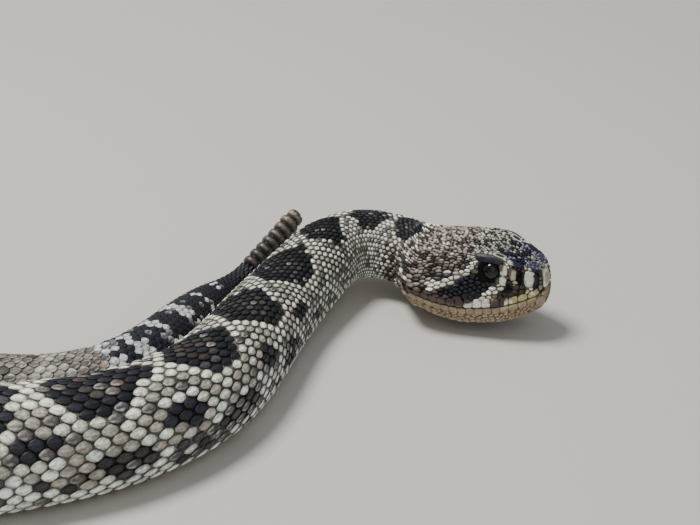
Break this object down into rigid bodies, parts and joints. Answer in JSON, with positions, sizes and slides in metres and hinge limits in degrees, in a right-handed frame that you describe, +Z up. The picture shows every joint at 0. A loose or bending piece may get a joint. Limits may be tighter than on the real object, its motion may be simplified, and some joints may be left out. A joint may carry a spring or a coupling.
{
  "type": "western diamondback rattlesnake",
  "caption": "Life-size still model of a western diamondback rattlesnake lying in loose bends, head just raised, rattle at the end of the tail.",
  "frame": {"origin": "middle of the box on the floor that the belly rests on", "axes": "+Z up from the floor; +X along the longest side of the coil, towards the head's side; +Y away from the side that the picture is taken from"},
  "size_m": [0.4788, 0.247, 0.0407],
  "materials": {
    "head_skin": "satin scales",
    "jaw_skin": "satin scales",
    "eye": "glossy",
    "body_skin": "dry keeled scales",
    "tail_skin": "dry keeled scales",
    "rattle_horn": "dull horn"
  },
  "bodies": {
    "root": {"head": "head_skin", "lower_jaw": "jaw_skin", "eye_left": "eye", "eye_right": "eye", "neck": "body_skin", "torso_1": "body_skin", "torso_2": "body_skin", "torso_3": "body_skin", "torso_4": "body_skin", "torso_5": "body_skin", "torso_6": "body_skin", "torso_7": "body_skin", "tail": "tail_skin", "rattle": "rattle_horn"}
  },
  "joints": []
}
